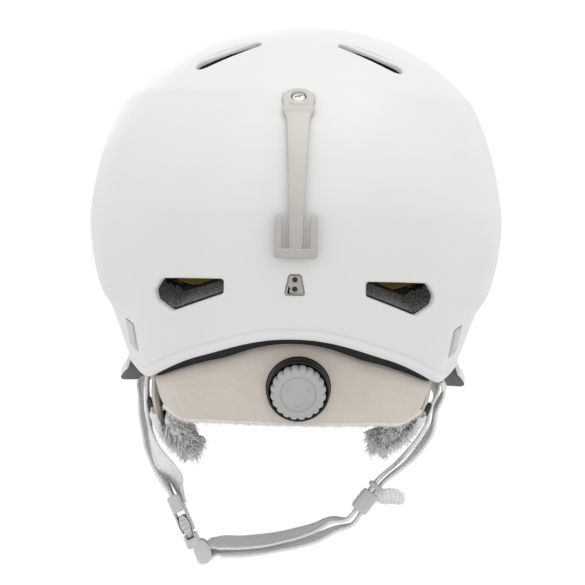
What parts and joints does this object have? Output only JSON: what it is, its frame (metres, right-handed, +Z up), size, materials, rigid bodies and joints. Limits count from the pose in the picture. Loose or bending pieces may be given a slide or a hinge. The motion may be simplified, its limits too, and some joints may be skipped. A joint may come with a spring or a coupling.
{
  "type": "ski helmet",
  "caption": "Ski helmet with hard shell, short brim, foam liner, vents, goggle strap clip, dial fit system, ear pads and buckled chin strap.",
  "frame": {"origin": "centre of the wearer's head at the helmet's reference plane, inside the open cavity", "axes": "+Z up through the crown, -Y the way the brim and the wearer face, +X the wearer's left"},
  "size_m": [0.218, 0.2885, 0.2859],
  "materials": {
    "shell_white": "satin",
    "foam_black": "matte expanded beads",
    "slip_yellow": "smooth",
    "lining_fabric": "fine woven",
    "fleece": "long pile",
    "clip_elastomer": "satin",
    "screw_steel": "polished",
    "plate_metal": "satin",
    "badge_silver": "satin",
    "knob_grey": "matte",
    "plastic_black": "satin",
    "rubber_black": "matte",
    "buckle_grey": "satin",
    "rubber_grey": "matte",
    "webbing": "woven webbing"
  },
  "bodies": {
    "helmet": {"accessory_plate": "plate_metal", "brim": "shell_white", "brow_pad": "lining_fabric", "buckle_socket": "buckle_grey", "clip_insert_nut": "screw_steel", "crown_pad": "lining_fabric", "dial_housing": "plastic_black", "ear_fleece_left": "fleece", "ear_fleece_right": "fleece", "ear_pad_left": "lining_fabric", "ear_pad_right": "lining_fabric", "foam_liner": "foam_black", "goggle_clip_base": "clip_elastomer", "goggle_clip_screw": "screw_steel", "neck_roll": "lining_fabric", "outer_shell": "shell_white", "plate_screw_bottom": "screw_steel", "plate_screw_top": "screw_steel", "rear_cradle": "plastic_black", "rear_pad": "lining_fabric", "side_badge_left": "badge_silver", "side_badge_right": "badge_silver", "side_pad_left": "lining_fabric", "side_pad_right": "lining_fabric", "slip_anchor_front": "rubber_black", "slip_anchor_left": "rubber_black", "slip_anchor_rear": "rubber_black", "slip_anchor_right": "rubber_black", "slip_liner": "slip_yellow", "strap_anchor_left_front": "plastic_black", "strap_anchor_left_rear": "plastic_black", "strap_anchor_right_front": "plastic_black", "strap_anchor_right_rear": "plastic_black", "strap_left_front": "webbing", "strap_left_rear": "webbing", "strap_right_front_upper": "webbing", "strap_right_rear_upper": "webbing"},
    "dial": {"dial_knob": "knob_grey", "dial_gear": "knob_grey", "dial_screw": "screw_steel"},
    "rack_left": {"fit_rack_left": "plastic_black"},
    "rack_right": {"fit_rack_right": "plastic_black"},
    "goggle_clip": {"goggle_clip_arm": "clip_elastomer"},
    "chin_strap": {"strap_right_front_lower": "webbing", "strap_right_rear_lower": "webbing", "strap_keeper": "buckle_grey", "keeper_loop": "rubber_grey", "strap_end_tab": "webbing", "chin_strap": "webbing", "chin_strap_tail": "webbing", "buckle_plug": "buckle_grey"},
    "prong_rear": {"buckle_prong_rear": "buckle_grey"},
    "prong_front": {"buckle_prong_front": "buckle_grey"}
  },
  "joints": [
    {"name": "dial_turn", "type": "hinge", "parent": "helmet", "child": "dial", "pos_m": [-0.0028, 0.1085, -0.0653], "axis": [0, -0.9511, 0.309], "range_deg": [0, 90]},
    {"name": "rack_left_slide", "type": "slide", "parent": "helmet", "child": "rack_left", "axis": [-1, 0, 0], "range_m": [0, 0.008]},
    {"name": "rack_right_slide", "type": "slide", "parent": "helmet", "child": "rack_right", "axis": [1, 0, 0], "range_m": [0, 0.008]},
    {"name": "goggle_clip_flex", "type": "hinge", "parent": "helmet", "child": "goggle_clip", "pos_m": [0, 0.1137, 0.072], "axis": [1, 0, 0], "range_deg": [0, 20], "stiffness_Nm_per_rad": 0.2},
    {"name": "chin_strap_swing", "type": "hinge", "parent": "helmet", "child": "chin_strap", "pos_m": [-0.0745, 0, -0.0762], "axis": [0, 1, 0], "range_deg": [0, 60]},
    {"name": "prong_rear_squeeze", "type": "hinge", "parent": "chin_strap", "child": "prong_rear", "pos_m": [0.05331, 0.00344, -0.1408], "axis": [0.9091, 0, -0.4166], "range_deg": [0, 8], "stiffness_Nm_per_rad": 0.02},
    {"name": "prong_front_squeeze", "type": "hinge", "parent": "chin_strap", "child": "prong_front", "pos_m": [0.05331, -0.01544, -0.1408], "axis": [-0.9091, 0, 0.4166], "range_deg": [0, 8], "stiffness_Nm_per_rad": 0.02}
  ],
  "couplings": [
    {"joint": "rack_left_slide", "follows": "dial_turn", "m_per_rad": 0.005},
    {"joint": "rack_right_slide", "follows": "dial_turn", "m_per_rad": 0.005}
  ]
}
